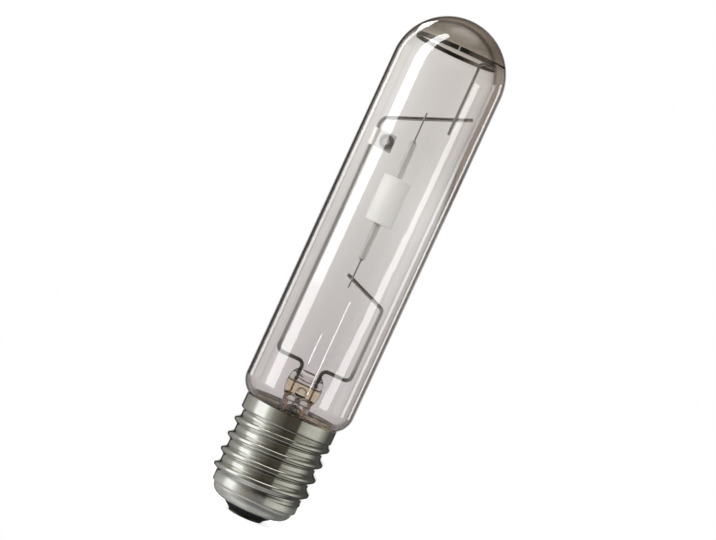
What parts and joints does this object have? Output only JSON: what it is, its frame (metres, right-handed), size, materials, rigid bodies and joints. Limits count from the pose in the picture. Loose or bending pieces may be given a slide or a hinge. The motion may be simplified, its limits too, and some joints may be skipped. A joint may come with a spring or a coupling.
{
  "type": "tubular discharge lamp",
  "caption": "Clear tubular ceramic metal-halide lamp with a domed end, an arc tube on a wire frame and a large Edison screw cap.",
  "frame": {"origin": "middle of the contact's lower face", "axes": "+Z along the lamp's axis from the contact to the dome; +X from the long support wire's leg to the short one's"},
  "size_m": [0.0452, 0.0452, 0.2095],
  "materials": {
    "bulb_glass": "clear blown tube, polished",
    "stem_glass": "clear pressed lead glass",
    "frame_wire": "drawn nickel-plated steel wire, semi-bright",
    "arc_lead_metal": "dull niobium wire",
    "seal_metal": "brown sheathed seal wire",
    "alumina": "translucent white alumina, matt",
    "frit_glass": "dark sealing frit",
    "tungsten": "grey drawn tungsten",
    "ring_steel": "bright spring strip",
    "getter_metal": "satin strip",
    "getter_fill": "dark pressed ring",
    "cap_metal": "nickel-plated brass sheet, bright rolled",
    "black_glass": "black cast glass, glossy",
    "contact_brass": "turned brass",
    "solder": "dull solder",
    "lead_copper": "bare copper wire",
    "cement": "dry basing cement"
  },
  "bodies": {
    "root": {"outer_bulb": "bulb_glass", "stem": "stem_glass", "exhaust_tube": "stem_glass", "left_seal_wire": "seal_metal", "right_seal_wire": "seal_metal", "long_support_wire": "frame_wire", "short_support_wire": "frame_wire", "arc_tube_barrel": "alumina", "upper_end_disc": "alumina", "lower_end_disc": "alumina", "upper_capillary": "alumina", "lower_capillary": "alumina", "upper_electrode": "tungsten", "lower_electrode": "tungsten", "upper_arc_lead": "arc_lead_metal", "lower_arc_lead": "arc_lead_metal", "upper_frit_seal": "frit_glass", "lower_frit_seal": "frit_glass", "dome_ring": "ring_steel", "ring_post": "frame_wire", "getter_strip": "getter_metal", "getter_ring": "getter_fill", "cap_shell": "cap_metal", "cap_insulator": "black_glass", "centre_contact": "contact_brass", "contact_solder": "solder", "centre_lead": "lead_copper", "shell_lead": "lead_copper", "shell_solder": "solder", "basing_cement": "cement"}
  },
  "joints": []
}
